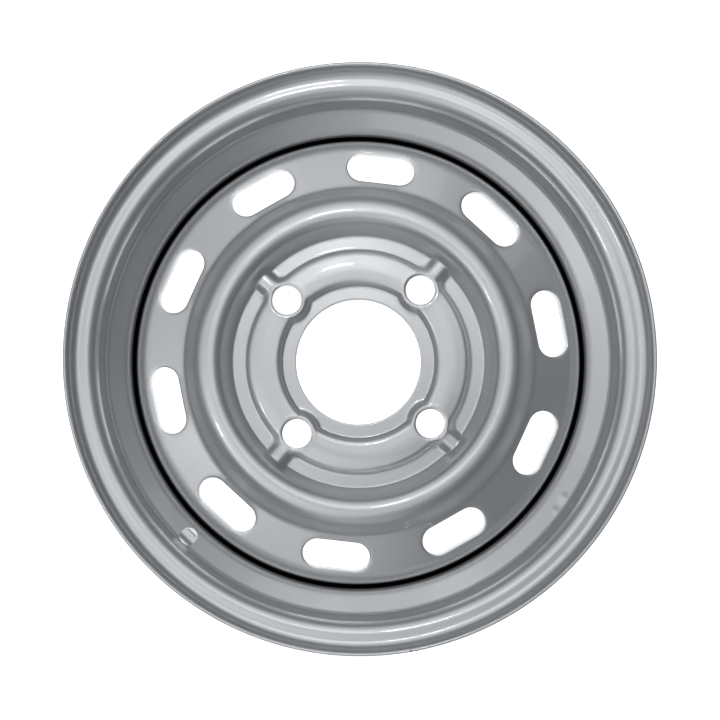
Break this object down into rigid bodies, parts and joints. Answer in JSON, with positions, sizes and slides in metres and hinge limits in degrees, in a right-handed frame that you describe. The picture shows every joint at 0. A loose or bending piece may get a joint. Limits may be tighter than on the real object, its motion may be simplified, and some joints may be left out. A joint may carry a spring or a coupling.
{
  "type": "trailer wheel rim",
  "caption": "Steel trailer wheel: rolled drop-centre rim band with a welded pressed disc, centre bore, bolt holes and ventilation slots.",
  "frame": {"origin": "centre of the wheel's axis, on the floor that the lip of the inner flange rests on", "axes": "+Z along the wheel's axis, from the trailer's side to the outer face; +Y is up in the picture"},
  "size_m": [0.3894, 0.3894, 0.14],
  "materials": {
    "silver_paint": "satin silver stoved paint on steel",
    "painted_weld": "silver paint over a rippled weld bead"
  },
  "bodies": {
    "root": {"rim_band": "silver_paint", "wheel_disc": "silver_paint", "weld_bead_01": "painted_weld", "weld_bead_02": "painted_weld", "weld_bead_03": "painted_weld", "weld_bead_04": "painted_weld", "weld_bead_05": "painted_weld", "weld_bead_06": "painted_weld", "weld_bead_07": "painted_weld", "weld_bead_08": "painted_weld", "weld_bead_09": "painted_weld", "weld_bead_10": "painted_weld"}
  },
  "joints": []
}
